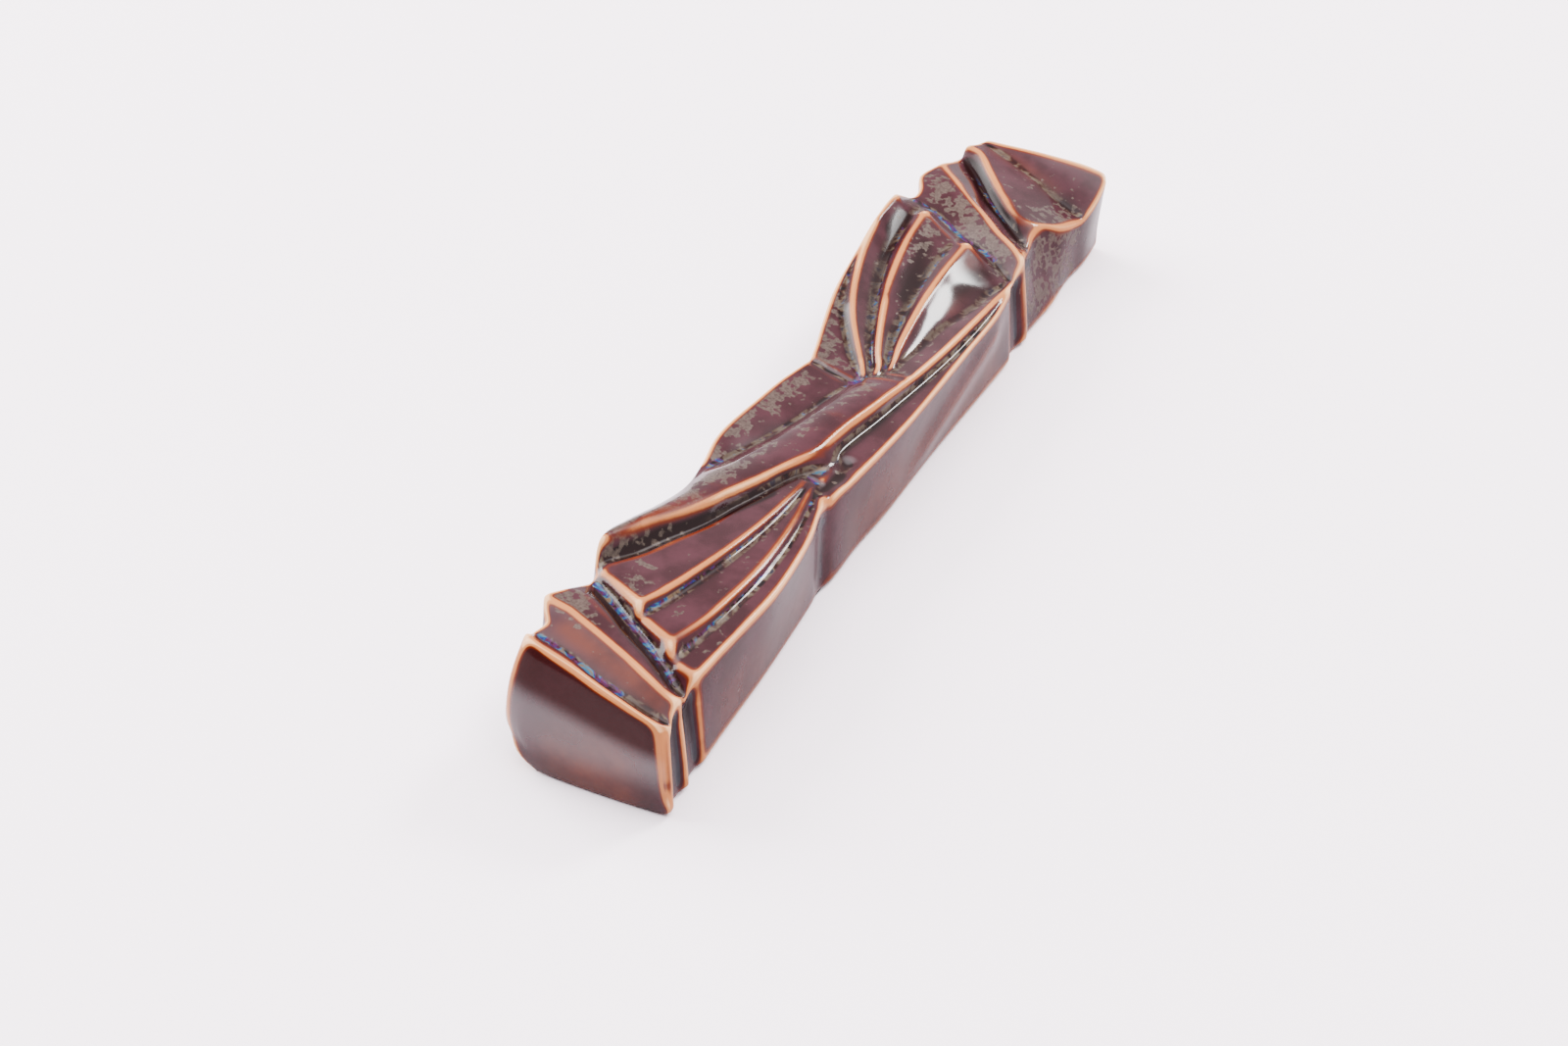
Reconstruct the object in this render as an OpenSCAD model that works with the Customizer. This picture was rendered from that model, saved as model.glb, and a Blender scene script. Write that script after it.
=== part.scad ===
// Carved ceramic mezuzah case, lying on its flat back.
// X runs across the case, Y along it towards the loading end, Z out of its carved front.
// The origin is on the surface that the case lies on, under the middle of its outline.

/* [Case] */
// Length of the case from end to end
case_len = 172; // [170:1:176]
// Height of the ceramic back above the surface, held off by the tape pads
back_lift = 0.4; // [0.2:0.1:0.7]
// Rise of the whole carved front above its drawn heights
front_rise = 0; // [0:0.1:1]

/* [Scroll chamber] */
// Diameter of the round scroll chamber
chamber_d = 11.5; // [11:0.1:12]
// Length of the chamber from the loading end to its blind end
chamber_len = 142; // [136:1:144]
// Distance of the chamber's axis from the middle of the outline
chamber_x = 1.5; // [1:0.1:2]
// Height of the chamber's axis above the surface
chamber_z = 8.6; // [8.4:0.1:8.8]

/* [Scroll] */
// Width of the parchment sheet, which is the length of its roll
scroll_len = 120; // [110:1:122]
// Outside diameter of the rolled parchment
scroll_d = 9.8; // [8:0.1:9.9]
// Diameter of the open core in the middle of the roll
scroll_core_d = 4.4; // [2:0.1:6]
// Wall of the clear film sleeve
film_wall = 0.15; // [0.1:0.05:0.2]
// Distance of the roll from the middle of the chamber, lying at its bottom
scroll_drop = 0.3; // [0:0.05:0.3]

/* [Stopper] */
// Diameter of the stopper's flange
flange_d = 13.6; // [13:0.1:14]
// Thickness of the stopper's flange
flange_t = 1.4; // [1:0.1:1.6]
// Length of the ribbed plug behind the flange
plug_len = 7; // [5:0.5:8]

/* [Tape pads] */
// Width of each foam pad across the back
pad_w = 17; // [12:0.5:18]
// Length of each foam pad
pad_l = 30; // [20:1:36]
// Distance of each pad's middle from the middle of the case
pad_pitch = 50; // [40:1:58]
// Thickness of the release liner
liner_t = 0.12; // [0.1:0.01:0.15]
// Length of the liner's peel tab beyond the pad
tab_l = 4; // [0:0.5:6]

/* [Hidden] */
half = case_len / 2;
pocket_depth = 0.8;
pocket_gap = 0.3;
fit_gap = 0.05;
film_gap = 0.05;
seat_gap = 0.2;
bore_fn = 96;
eps = 0.01;
scroll_end = half - 11;
film_over = 1;
station_step = 2;
columns = 14;

// Outline of the case at its flat back, left and right of the middle: [y, x].
base_left = [[-86, -8.5], [-84, -10], [0, -8.5], [84, -10.5], [86, -9.5]];
base_right = [[-86, 12.4], [-84, 13], [-60, 12], [-30, 11], [0, 12], [48, 13], [84, 13.4], [86, 12.6]];
// Widest line of the left flank, at belly_z.
belly_z = 12;
belly_left = [[-86, -12.6], [-84, -13.6], [-76, -12.4], [-70, -13.8], [-64, -12], [-56, -13.6], [-36, -9.8],
    [-22, -11], [5, -7.6], [22, -11.6], [48, -14.6], [56, -13], [66, -14.4], [78, -11.8], [86, -10.8]];
// Upper left edge, which runs high: its x and its z.
edge_left = [[-86, -10], [-82, -11.4], [-76, -12], [-71, -13.9], [-64, -12], [-57, -13.1], [-50, -12.6],
    [-37, -9.2], [-22, -10.2], [-10, -9.6], [4, -6.6], [14, -9.6], [21, -11.6], [36, -13.2], [50, -14.9],
    [55, -14.2], [59, -12.4], [66, -14.4], [79, -11.8], [86, -10.8]];
edge_left_z = [[-86, 17.4], [-82, 21.2], [-76, 20.4], [-71, 21], [-64, 20.6], [-58, 21.8], [-50, 20.5],
    [-37, 19.5], [-22, 19.3], [4, 18.2], [21, 20.4], [36, 21.5], [50, 22.8], [55, 22], [59, 19.6],
    [66, 19.4], [86, 17.8]];
// Long ridge that runs from the near left corner to the far right one, with its height.
ridge = [[-86, -6], [-58, -11.6], [-45, -8.5], [-30, 0.5], [-15, 4], [0, 7.2], [20, 11], [38, 12.4], [60, 2], [86, 2]];
ridge_z = [[-86, 17.4], [-82, 19.6], [-58, 21.4], [-45, 20.5], [-30, 19.2], [-15, 18.2], [0, 17.4], [20, 16.4],
    [38, 16.2], [52, 18.6], [70, 18.2], [86, 18]];
// Upper right edge, which runs lower: its x and its z.
edge_right = [[-86, 11.2], [-84, 11.8], [-72, 12], [-60, 13.4], [-48, 13.4], [-30, 11.2], [-20, 12.4], [-3, 13.2],
    [30, 13.6], [40, 12.8], [52, 11.8], [62, 11.6], [74, 13.6], [84, 14.9], [86, 14.6]];
edge_right_z = [[-86, 14.8], [-84, 17], [-72, 17], [-60, 16.2], [-48, 15.4], [-38, 15.4], [-30, 17], [-20, 16.4],
    [-3, 15.5], [36, 15.6], [44, 16.6], [52, 17.6], [62, 16.4], [74, 13], [84, 16.4], [86, 15.8]];

// Carved cuts across the front: [from [x, y], to [x, y], width, depth].
bands = [[[-15, -77.5], [12, -82], 3.6, 2.2], [[-15, -61.5], [12, -76.5], 4.4, 2.8],
    [[-15, 58.5], [13, 45], 3.6, 2], [[-14, 82], [10, 56.5], 4.2, 2.6], [[-10, 86], [15, 71], 3.4, 1.6]];
near_fan = [[[-12, -57], [5.5, -26], 3.2, 1.8], [[-1.5, -66], [5.5, -28], 3, 1.5], [[7, -70.5], [6.5, -28], 3, 1.3]];
far_fan = [[[2, 5], [-14, 36], 3, 1.6], [[3, 6], [-10.5, 50], 3, 1.5], [[4, 7], [-2, 46], 3, 1.5],
    [[5.4, 9], [11, 38], 2.8, 1.2]];
long_grooves = [[[6.8, -22], [13, 34], 2.8, 1.2], [[2, 3], [-9.5, -31], 3.6, 1.6]];
cuts = concat(bands, near_fan, far_fan, long_grooves);
// The same bands going down the right wall: [y, width, depth].
wall_cuts = [[-81, 3.2, 0.5], [-76, 3.6, 0.6], [45.5, 3.6, 0.6]];

// Distance in plan from point p to the line from a to b.
function line_distance(p, a, b) =
    let (run = b - a, t = max(0, min(1, (p - a) * run / (run * run)))) norm(p - a - t * run);

// How deep a V of this width and depth is at a distance from its middle.
function v_depth(distance, wide, deep) = deep * max(0, 1 - 2 * distance / wide);

// Deepest carved cut over the point (x, y).
function carved(x, y) = max([for (c = cuts) v_depth(line_distance([x, y], c[0], c[1]), c[2], c[3])]);
function wall_carved(y) = max([for (c = wall_cuts) v_depth(abs(y - c[0]), c[1], c[2])]);

// Height of the uncut front over (x, y): it falls from the ridge to both upper edges.
function front_z(x, y) = front_rise + lookup(x, [
    [lookup(y, edge_left), lookup(y, edge_left_z)],
    [lookup(y, ridge), lookup(y, ridge_z)],
    [lookup(y, edge_right), lookup(y, edge_right_z)]]);

// One cross-section of the case at length y, from its left foot over the front to its right foot.
function section(y) = let (
    left = lookup(y, edge_left),
    right = lookup(y, edge_right),
    wall = wall_carved(y)) [
    [lookup(y, base_left), y, back_lift],
    [lookup(y, belly_left) + 1, y, belly_z / 3],
    [lookup(y, belly_left), y, belly_z],
    for (k = [0 : columns]) let (x = left + (right - left) * k / columns) [x, y, front_z(x, y) - carved(x, y)],
    [right - 0.2 - wall, y, belly_z],
    [lookup(y, base_right) + 0.3 - wall, y, belly_z / 3],
    [lookup(y, base_right) - wall, y, back_lift]];

// Closed skin through all the cross-sections.
module carved_body() {
    stations = [for (y = [-half : station_step : half]) y];
    side = len(section(0));
    rings = len(stations);
    points = [for (y = stations) each section(y)];
    walls = [for (k = [0 : rings - 2], i = [0 : side - 1])
        let (j = (i + 1) % side, a = k * side, b = a + side)
        each [[a + i, a + j, b + j], [a + i, b + j, b + i]]];
    near_face = [[for (i = [side - 1 : -1 : 0]) i]];
    far_face = [[for (i = [0 : side - 1]) (rings - 1) * side + i]];
    polyhedron(points = points, faces = concat(walls, near_face, far_face), convexity = 6);
}

// Round chamber for the roll, with a seat for the stopper's flange.
module chamber() {
    translate([chamber_x, half + eps, chamber_z]) rotate([90, 0, 0]) {
        cylinder(h = chamber_len + eps, d = chamber_d, $fn = bore_fn);
        cylinder(h = flange_t + seat_gap + eps, d = flange_d + 2 * seat_gap, $fn = bore_fn);
    }
}

// Flat block on the back, centred across on the chamber, from height z up.
module back_block(y, w, l, z, t) {
    translate([chamber_x - w / 2, y - l / 2, z]) cube([w, l, t]);
}

module case_shell() {
    color("rosybrown") difference() {
        carved_body();
        chamber();
        for (y = [-pad_pitch, pad_pitch])
            back_block(y, pad_w + 2 * pocket_gap, pad_l + 2 * pocket_gap, back_lift - 1, 1 + pocket_depth);
    }
}

module stopper() {
    plug_r = chamber_d / 2 - fit_gap;
    neck_r = plug_r - 0.5;
    rib = plug_len / 4;
    color("dimgray")
        translate([chamber_x, half, chamber_z]) rotate([90, 0, 0])
            rotate_extrude($fn = bore_fn)
                polygon([[0, 0], [flange_d / 2 - 0.3, 0], [flange_d / 2, 0.3], [flange_d / 2, flange_t],
                    [neck_r, flange_t], [plug_r, flange_t + rib], [neck_r, flange_t + 1.6 * rib],
                    [plug_r, flange_t + 2.6 * rib], [neck_r, flange_t + 4 * rib], [0, flange_t + 4 * rib]]);
}

// Tube along Y that ends at length y.
module tube(y, l, outer_r, inner_r) {
    translate([chamber_x, y, chamber_z - scroll_drop]) rotate([90, 0, 0]) difference() {
        cylinder(h = l, r = outer_r, $fn = bore_fn);
        translate([0, 0, -1]) cylinder(h = l + 2, r = inner_r, $fn = bore_fn);
    }
}

module scroll() {
    color("wheat") tube(scroll_end, scroll_len, scroll_d / 2, scroll_core_d / 2);
}

module scroll_wrap() {
    inner = scroll_d / 2 + film_gap;
    color("aliceblue", 0.4)
        tube(scroll_end + film_over, scroll_len + 2 * film_over, inner + film_wall, inner);
}

module pad(y) {
    color("gainsboro") back_block(y, pad_w, pad_l, liner_t, back_lift + pocket_depth - liner_t);
}

// Release liner under a pad, with its peel tab towards the near end.
module liner(y) {
    color("khaki") back_block(y - tab_l / 2, pad_w, pad_l + tab_l, 0, liner_t);
}

case_shell();
stopper();
scroll();
scroll_wrap();
pad(pad_pitch);  // upper_pad
pad(-pad_pitch);  // lower_pad
liner(pad_pitch);  // upper_liner
liner(-pad_pitch);  // lower_liner
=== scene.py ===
"""Looks of a carved and glazed ceramic mezuzah case, lying on its flat back.

Lengths are written in millimetres and become metres as the pieces are made.
X runs across the case, Y along it towards the loading end, Z out of the carved front.
"""
import math

import bmesh
import bpy
import numpy as np
from mathutils import Matrix, Vector


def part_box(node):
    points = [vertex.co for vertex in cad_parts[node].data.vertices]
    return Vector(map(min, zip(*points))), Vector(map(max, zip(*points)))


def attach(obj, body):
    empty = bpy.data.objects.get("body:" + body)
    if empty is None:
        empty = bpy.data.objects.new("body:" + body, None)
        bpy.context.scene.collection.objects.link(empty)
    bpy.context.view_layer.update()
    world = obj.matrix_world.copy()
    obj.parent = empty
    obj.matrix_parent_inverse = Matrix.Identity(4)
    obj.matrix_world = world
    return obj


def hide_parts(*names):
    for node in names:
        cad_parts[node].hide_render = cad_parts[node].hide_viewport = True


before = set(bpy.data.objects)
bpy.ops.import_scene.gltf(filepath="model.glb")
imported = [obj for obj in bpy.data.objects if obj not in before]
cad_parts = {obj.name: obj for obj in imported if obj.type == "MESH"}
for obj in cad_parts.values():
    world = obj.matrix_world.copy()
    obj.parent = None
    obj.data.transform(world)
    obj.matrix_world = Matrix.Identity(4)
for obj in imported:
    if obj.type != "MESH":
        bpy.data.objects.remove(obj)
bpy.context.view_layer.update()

MM = 0.001


# ---------------------------------------------------------------- sizes from the frame

def box_mm(node):
    """Lowest and highest corners of a frame node, in millimetres."""
    low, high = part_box(node)
    return np.array(low) / MM, np.array(high) / MM


SHELL_LOW, SHELL_HIGH = box_mm("case_shell")
STOPPER_LOW, STOPPER_HIGH = box_mm("stopper")
ROLL_LOW, ROLL_HIGH = box_mm("scroll")
WRAP_LOW, WRAP_HIGH = box_mm("scroll_wrap")
HALF = SHELL_HIGH[1]
BACK = SHELL_LOW[2]
BORE_X = (STOPPER_LOW[0] + STOPPER_HIGH[0]) / 2
BORE_Z = (STOPPER_LOW[2] + STOPPER_HIGH[2]) / 2
ROLL_Z = (ROLL_LOW[2] + ROLL_HIGH[2]) / 2
FLANGE_R = (STOPPER_HIGH[0] - STOPPER_LOW[0]) / 2
CHAMBER_R = 5.75
CHAMBER_LEN = 142.0
SEAT_R = FLANGE_R + 0.2
SEAT_DEPTH = 1.6


# ---------------------------------------------------------------- shader helpers

class Value:
    """A shader socket that can be used in sums and products."""

    def __init__(self, paint, socket):
        self.paint = paint
        self.socket = socket

    def _math(self, operation, first, second):
        return self.paint.node("ShaderNodeMath", {"operation": operation}, {0: first, 1: second})

    def __add__(self, other):
        return self._math("ADD", self, other)

    def __radd__(self, other):
        return self._math("ADD", other, self)

    def __sub__(self, other):
        return self._math("SUBTRACT", self, other)

    def __rsub__(self, other):
        return self._math("SUBTRACT", other, self)

    def __mul__(self, other):
        return self._math("MULTIPLY", self, other)

    def __rmul__(self, other):
        return self._math("MULTIPLY", other, self)


class Paint:
    """One procedural material, and short ways to add its nodes."""

    def __init__(self, name):
        self.material = bpy.data.materials.new(name)
        self.material.use_nodes = True
        self.tree = self.material.node_tree
        self.shader = self.tree.nodes["Principled BSDF"]

    def node(self, kind, settings, inputs, output=0):
        """Add a node, with its settings made first, and return one of its outputs."""
        made = self.tree.nodes.new(kind)
        for name, value in settings.items():
            if name == "stops":
                self._set_stops(made.color_ramp, value)
            else:
                setattr(made, name, value)
        for key, value in inputs.items():
            if isinstance(value, Value):
                self.tree.links.new(value.socket, made.inputs[key])
            else:
                made.inputs[key].default_value = value
        return Value(self, made.outputs[output])

    @staticmethod
    def _set_stops(ramp, stops):
        while len(ramp.elements) < len(stops):
            ramp.elements.new(1.0)
        for element, (place, shade) in zip(ramp.elements, stops):
            element.position = place
            element.color = (shade, shade, shade, 1.0) if isinstance(shade, float) else (*shade, 1.0)

    def place(self):
        """Object coordinates in metres."""
        return self.node("ShaderNodeTexCoord", {}, {}, "Object")

    def attribute(self, name):
        """A value kept on the piece's points."""
        return self.node("ShaderNodeAttribute", {"attribute_name": name}, {}, "Fac")

    def noise(self, scale, detail=2.0, roughness=0.5, distortion=0.0, at=None):
        """Cloudy values around 0.5; scale is in blotches for each metre."""
        return self.node("ShaderNodeTexNoise", {}, {
            "Vector": at or self.place(), "Scale": scale, "Detail": detail,
            "Roughness": roughness, "Distortion": distortion}, 0)

    def cells(self, scale, feature="F1", output="Distance", at=None):
        """Cells, such as pores in foam or skin."""
        return self.node("ShaderNodeTexVoronoi", {"feature": feature},
                         {"Vector": at or self.place(), "Scale": scale}, output)

    def step(self, value, low, high):
        """Smooth step from 0 at low to 1 at high."""
        return self.node("ShaderNodeMapRange", {"interpolation_type": "SMOOTHSTEP"},
                         {0: value, 1: low, 2: high, 3: 0.0, 4: 1.0})

    def ramp(self, value, stops):
        """Colour that runs through stops (value, colour)."""
        return self.node("ShaderNodeValToRGB", {"stops": stops}, {0: value})

    def mix(self, amount, first, second):
        """Colour between two colours; each is a tuple or a socket."""
        first, second = (c if isinstance(c, Value) else (*c, 1.0) for c in (first, second))
        return self.node("ShaderNodeMix", {"data_type": "RGBA"}, {0: amount, 6: first, 7: second}, 2)

    def bump(self, height, distance, strength=1.0):
        """Fine relief, for the Normal socket."""
        return self.node("ShaderNodeBump", {},
                         {"Height": height, "Distance": distance, "Strength": strength})

    def feed(self, **inputs):
        """Set or link sockets of the main shader, named with _ for each space."""
        for name, value in inputs.items():
            socket = self.shader.inputs[name.replace("_", " ")]
            if isinstance(value, Value):
                self.tree.links.new(value.socket, socket)
            else:
                socket.default_value = (*value, 1.0) if isinstance(value, tuple) else value
        return self.material


# ---------------------------------------------------------------- carved front: its lines

# A separate program worked out x and y of most of these points in millimetres, for heights z chosen
# by hand. They were then rounded, and some were moved, added or left out.
# Lines along the case, from left to right. Each point is (y, x, z).
LEFT_EDGE = [(-60, -12.2, 21.8), (-57, -13.1, 21.7), (-50, -12.6, 20.3), (-44, -10.8, 19.6),
             (-38, -9.4, 19.2), (-32, -9.8, 19.0), (-23, -11.4, 18.9), (-11, -10.3, 18.8),
             (-4, -9.4, 18.6), (2, -8.1, 18.4), (3.5, -7.8, 18.4), (5, -8.1, 18.5), (14, -10.5, 19.0),
             (21, -12.2, 19.6), (35, -13.8, 20.9), (45, -14.6, 21.9), (52, -14.6, 22.4),
             (56, -14.0, 22.2)]
LEFT_GROOVE = [(-37, -9.3, 19.2), (-32, -9.0, 18.6), (-27.5, -8.0, 17.8), (-18.5, -4.7, 17.4),
               (-11.5, -2.6, 17.3), (-5, -1.2, 17.1), (1, 0.4, 17.0), (3, 1.0, 16.9), (6, -0.3, 16.9),
               (9, -2.8, 17.2), (13.5, -5.8, 17.8), (18, -8.6, 18.4), (23, -10.7, 19.0),
               (28.5, -12.2, 19.8), (33.5, -13.2, 20.6), (45, -14.4, 21.8)]
FAR_RIDGE_1 = [(3.7, 2.0, 17.4), (9.5, -1.8, 18.6), (15.5, -5.5, 19.5), (22, -8.6, 20.3), (29, -11.0, 21.0),
               (36, -12.8, 21.7), (43, -14.0, 22.3), (51.5, -14.3, 22.6)]
FAR_GROOVE_1 = [(4, 2.2, 17.0), (6, 1.9, 16.8), (14, -1.6, 17.3), (23, -5.0, 17.9), (32.5, -8.1, 18.5),
                (41, -9.7, 19.1), (50, -10.2, 20.0)]
FAR_RIDGE_2 = [(4.5, 3.0, 17.2), (5.5, 3.4, 17.6), (11, 1.1, 18.3), (18, -1.5, 18.9), (27.5, -4.5, 19.6),
               (35.5, -6.3, 20.1), (43, -7.5, 20.5), (51, -8.0, 21.0)]
FAR_GROOVE_2 = [(5, 3.6, 16.9), (8.5, 3.6, 16.6), (16, 1.5, 16.9), (24, 0.3, 17.3), (32.5, -0.8, 17.7),
                (39, -1.1, 18.1), (47, -0.8, 18.5)]
FAR_RIDGE_3 = [(6, 4.2, 17.1), (8, 4.6, 17.4), (14, 3.6, 17.9), (22, 2.6, 18.4), (29, 2.0, 18.8),
               (35.5, 1.7, 19.0), (47, 1.8, 19.2)]
FAR_GROOVE_3 = [(7, 5.0, 16.9), (11, 5.1, 16.6), (17, 6.1, 16.3), (24, 6.9, 16.1), (29.5, 8.2, 15.8),
                (33.5, 9.1, 15.6), (39, 9.6, 15.4), (42, 10.8, 15.3)]
LONG_RIDGE = [(-58.5, -12.6, 21.6), (-50, -8.5, 20.8), (-44.5, -5.3, 20.4), (-38.5, -2.1, 20.1),
              (-32, 0.8, 19.7), (-24.5, 3.3, 19.3), (-18.5, 5.0, 18.9), (-11, 6.3, 18.5),
              (-2, 8.0, 18.1), (5, 9.2, 17.7), (16, 10.7, 17.2), (29, 11.7, 16.6), (41, 12.3, 16.0)]
LONG_GROOVE = [(-59.5, -11.2, 19.6), (-55.5, -8.5, 19.2), (-49.5, -5.6, 18.9), (-43.5, -2.8, 18.5),
               (-35.5, -0.6, 18.1), (-28.5, 2.1, 17.7), (-23.5, 4.6, 17.3), (-20, 6.8, 17.0),
               (-15.5, 6.6, 16.7), (-10, 7.2, 16.4), (-5, 8.1, 16.2), (0.5, 8.8, 16.0),
               (11, 10.2, 15.6), (24, 11.6, 15.2), (41, 12.5, 15.4)]
NEAR_RIDGE_1 = [(-65.5, -1.7, 20.0), (-60.5, 0.3, 19.6), (-53, 2.3, 19.2), (-45, 4.0, 18.8), (-38, 5.1, 18.4),
                (-32, 5.6, 18.0), (-25.5, 5.8, 17.4)]
NEAR_GROOVE_1 = [(-67, -0.8, 18.7), (-61.5, 0.9, 18.4), (-54, 2.9, 18.1), (-48, 4.3, 17.9), (-41, 5.4, 17.6),
                 (-33, 6.1, 17.3), (-26, 6.3, 17.0)]
NEAR_RIDGE_2 = [(-69, 5.7, 18.5), (-63, 7.5, 18.3), (-56.5, 8.5, 18.1), (-49, 9.1, 17.9), (-41.5, 9.0, 17.8),
                (-35, 8.4, 17.6), (-30, 7.5, 17.4), (-25, 6.6, 17.1)]
NEAR_GROOVE_2 = [(-71, 7.3, 17.2), (-64.5, 8.4, 17.1), (-57.5, 9.2, 17.1), (-50.5, 9.9, 17.0),
                 (-44.5, 10.0, 17.0), (-38, 9.7, 16.9), (-30, 8.5, 16.8), (-24.5, 7.0, 16.7)]
NEAR_RIDGE_3 = [(-73, 11.6, 17.0), (-66.5, 12.1, 16.8), (-59, 12.7, 16.6), (-51.5, 13.2, 16.5),
                (-44.5, 12.9, 16.5), (-37, 12.0, 16.6), (-30.5, 10.6, 16.9), (-25.5, 8.8, 17.1),
                (-22, 7.4, 16.9)]
RIGHT_EDGE = [(-73, 11.7, 17.0), (-66.5, 12.2, 16.8), (-59, 12.8, 16.6), (-51.5, 13.3, 16.5),
              (-44.5, 13.0, 16.5), (-37, 12.1, 16.6), (-31, 10.8, 16.8), (-28.8, 10.6, 15.4),
              (-26.6, 11.0, 16.3), (-20.5, 11.7, 16.2), (-12, 12.5, 16.1), (-3, 13.1, 16.0),
              (7, 13.3, 15.8), (21.5, 13.4, 15.6), (35, 13.4, 15.6), (41, 12.7, 15.7)]

# Lines across the case. Each point is (x, y, z).
NEAR_RIM = [(-12.4, -81.2, 22.1), (-8, -81.8, 21.2), (-3.3, -82.5, 20.4), (1.8, -83.6, 19.5),
            (5, -84.1, 18.8), (8, -84.5, 18.0), (10.4, -84.7, 17.3), (13, -84.9, 16.2)]
NEAR_BAND_1 = [(-12, -78.0, 19.5), (-5, -79.6, 18.8), (0.6, -81.6, 18.0), (4.8, -82.2, 17.0),
               (9, -82.6, 15.9), (13, -82.6, 15.0)]
NEAR_BAND_2 = [(-13.7, -72.0, 21.3), (-9.6, -72.3, 20.7), (-3.9, -74.2, 20.0), (1.7, -76.2, 19.3),
               (5.4, -77.6, 18.7), (8.8, -78.7, 17.9), (13, -79.5, 16.8)]
NEAR_SHELF = [(-13, -69.0, 20.7), (-10, -67.6, 20.1), (-5.2, -69.6, 19.6), (-1.6, -71.6, 19.0),
              (4.4, -74.3, 18.0), (9.7, -77.4, 16.8), (13, -78.6, 16.0)]
NEAR_BAND_3 = [(-13, -63.0, 18.9), (-10.2, -63.6, 18.3), (-4.6, -66.4, 17.6), (2.1, -70.6, 16.7),
               (7.6, -74.2, 15.7), (9.5, -75.6, 15.0), (13, -76.4, 14.4)]
NEAR_FAN_END = [(-13.2, -57.2), (-12.4, -58.7), (-11.2, -59.8), (-10.2, -61.8), (-6.5, -63.6), (-2.2, -65.9),
                (-0.5, -67.6), (4.3, -69.4), (6.5, -71.2), (8.1, -72.7), (10.7, -73.3), (13, -73.0)]
FAR_FAN_END = [(-14.6, 52.6), (-13.8, 52.0), (-10.4, 50.2), (-8.0, 51.4), (-4.4, 49.6), (0.8, 46.9),
               (1.9, 47.5), (5.3, 45.7), (8.8, 43.6), (13, 41.2)]
FAR_BAND_1 = [(-14.6, 57.0, 19.8), (-12.5, 56.2, 19.5), (-8.9, 55.4, 18.8), (-5.1, 53.5, 18.2),
              (-1.5, 51.2, 17.6), (1.6, 50.2, 16.9), (5.1, 49.0, 16.4), (7.8, 47.4, 15.8),
              (10.4, 45.6, 15.2), (13, 44.4, 14.8)]
FAR_BAND_2 = [(-14.6, 73.0, 19.6), (-11.8, 69.2, 19.8), (-7.9, 65.7, 19.6), (-3.9, 61.9, 19.2),
              (0.6, 58.2, 18.9), (5.1, 54.2, 18.5), (9.1, 51.5, 18.0), (11.3, 49.7, 17.4),
              (13, 48.8, 16.8)]
FAR_BAND_3 = [(-13, 79.0, 17.6), (-11.6, 77.8, 17.2), (-6.5, 73.0, 16.5), (-1.5, 67.1, 16.0),
              (3.4, 62.2, 15.5), (8.4, 57.3, 15.0), (13, 54.0, 14.4)]
FAR_BAND_4 = [(-12, 79.6, 19.0), (-8.7, 78.6, 18.8), (-4.9, 73.6, 18.5), (-0.2, 67.4, 18.2),
              (3.3, 63.7, 17.9), (6.3, 62.2, 17.3), (9, 62.9, 16.4), (11.8, 67.1, 14.4),
              (13.6, 73.6, 12.2), (15, 74.2, 12.0)]
FAR_VALLEY = [(-12, 84.4, 17.9), (-8.4, 83.4, 17.5), (1.8, 78.6, 16.2), (12.6, 75.3, 12.5), (15, 75.0, 12.2)]
FAR_RIM = [(-12, 85.6, 18.2), (2, 85.6, 17.9), (11.8, 85.6, 17.5), (15, 85.6, 16.8)]

# Outline beyond the two fans: (y, x) of both upper edges there.
NEAR_LEFT = [(-85.4, -12.4), (-81.6, -12.4), (-77.7, -11.6), (-74.5, -13.0), (-71.3, -14.1), (-68.5, -12.8),
             (-64.5, -11.4), (-61.5, -11.4), (-60, -12.2)]
FAR_LEFT = [(52, -14.6), (55, -14.0), (57.5, -12.8), (60, -13.0), (64.5, -14.8), (68, -14.0), (71, -12.8),
            (77.5, -12.0), (79.6, -12.0), (82, -11.0), (85.6, -10.6)]
NEAR_RIGHT = [(-85.4, 12.2), (-84.2, 12.6), (-82.4, 12.0), (-79.4, 11.8), (-76.6, 11.2), (-73, 11.7)]
FAR_RIGHT = [(41, 12.7), (44, 12.0), (49.4, 11.9), (53, 10.8), (57, 9.8), (61, 9.4), (63.5, 9.9),
             (67.1, 11.9), (73.6, 13.6), (78, 14.6), (83, 14.8), (85.6, 14.4)]
# Walls: (y, x) of the left belly line, and of the foot on both sides.
BELLY_Z = 12.0
LEFT_BELLY = [(-85.4, -14.0), (-83, -14.2), (-78, -13.2), (-71, -13.9), (-64, -12.6), (-57, -13.5),
              (-37, -10.4), (-23, -11.8), (4, -8.6), (22, -12.2), (48, -14.4), (58, -13.4), (66, -14.4),
              (79, -12.2), (85.6, -11.4)]
LEFT_FOOT = [(-85.4, -9.6), (-60, -9.8), (0, -8.6), (60, -10.2), (85.6, -10.0)]
RIGHT_FOOT = [(-85.4, 13.1), (-79, 12.9), (-72, 12.4), (-52, 11.9), (-36, 11.1), (-31, 10.8),
              (-28, 11.2), (-18, 11.3), (-8, 11.9), (4, 12.0), (48, 13.4), (62, 13.4), (73.5, 12.9),
              (78, 13.4), (85.6, 13.2)]
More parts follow.
